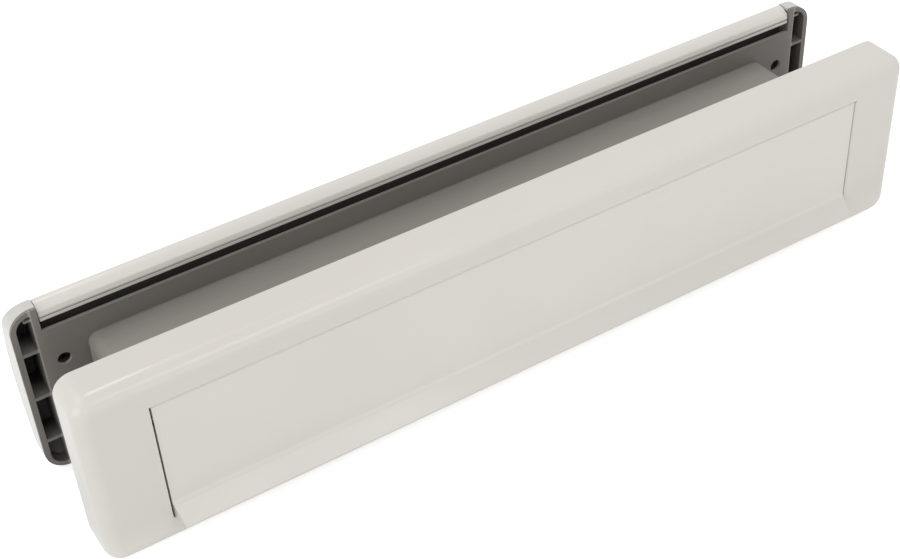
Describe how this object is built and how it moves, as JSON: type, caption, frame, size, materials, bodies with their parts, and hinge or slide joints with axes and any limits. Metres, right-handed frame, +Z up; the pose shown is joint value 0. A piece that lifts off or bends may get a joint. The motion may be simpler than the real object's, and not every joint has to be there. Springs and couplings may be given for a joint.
{
  "type": "letterbox draught excluder",
  "caption": "Two-part door letter plate: a street plate with a lipped flap and a sliding sleeve, and a room unit with a hooked sprung flap and seals.",
  "frame": {"origin": "centre of the four fixing holes, in the face of the room unit that lies on the door", "axes": "+X along the plate, +Y into the room, -Y to the street, +Z up"},
  "size_m": [0.3428, 0.078, 0.0738],
  "materials": {
    "cream_plastic": "satin, off-white",
    "grey_plastic": "matt, mid grey",
    "seal_foam": "soft closed-cell foam",
    "buffer_rubber": "soft rubber",
    "zinc_steel": "zinc plated",
    "bright_steel": "drawn rod",
    "spring_steel": "spring wire",
    "insert_brass": "turned"
  },
  "bodies": {
    "room_unit": {"inner_frame": "grey_plastic", "end_cap_left": "cream_plastic", "end_cap_right": "cream_plastic", "inner_hinge_rod": "bright_steel", "inner_spring_left": "spring_steel", "inner_spring_right": "spring_steel", "inner_buffers": "buffer_rubber"},
    "room_flap": {"inner_flap": "cream_plastic", "inner_flap_seal": "seal_foam"},
    "street_unit": {"outer_frame": "cream_plastic", "outer_tunnel": "grey_plastic", "outer_tunnel_screws": "zinc_steel", "threaded_inserts": "insert_brass", "outer_hinge_rod": "bright_steel", "outer_spring_left": "spring_steel", "outer_spring_right": "spring_steel", "outer_buffers": "buffer_rubber", "outer_gasket": "seal_foam"},
    "street_flap": {"outer_flap": "cream_plastic", "outer_flap_seal": "seal_foam"}
  },
  "joints": [
    {"name": "door_thickness", "type": "slide", "parent": "room_unit", "child": "street_unit", "axis": [0, -1, 0], "range_m": [-0.008, 0.016]},
    {"name": "room_flap_hinge", "type": "hinge", "parent": "room_unit", "child": "room_flap", "pos_m": [0, 0.0044, 0.0313], "axis": [1, 0, 0], "range_deg": [0, 80], "stiffness_Nm_per_rad": 0.03, "springref_deg": -28.65, "deforming": ["inner_spring_left", "inner_spring_right"]},
    {"name": "street_flap_hinge", "type": "hinge", "parent": "street_unit", "child": "street_flap", "pos_m": [0, -0.05275, 0.0189], "axis": [-1, 0, 0], "range_deg": [0, 80], "stiffness_Nm_per_rad": 0.03, "springref_deg": -28.65, "deforming": ["outer_spring_left", "outer_spring_right"]}
  ]
}
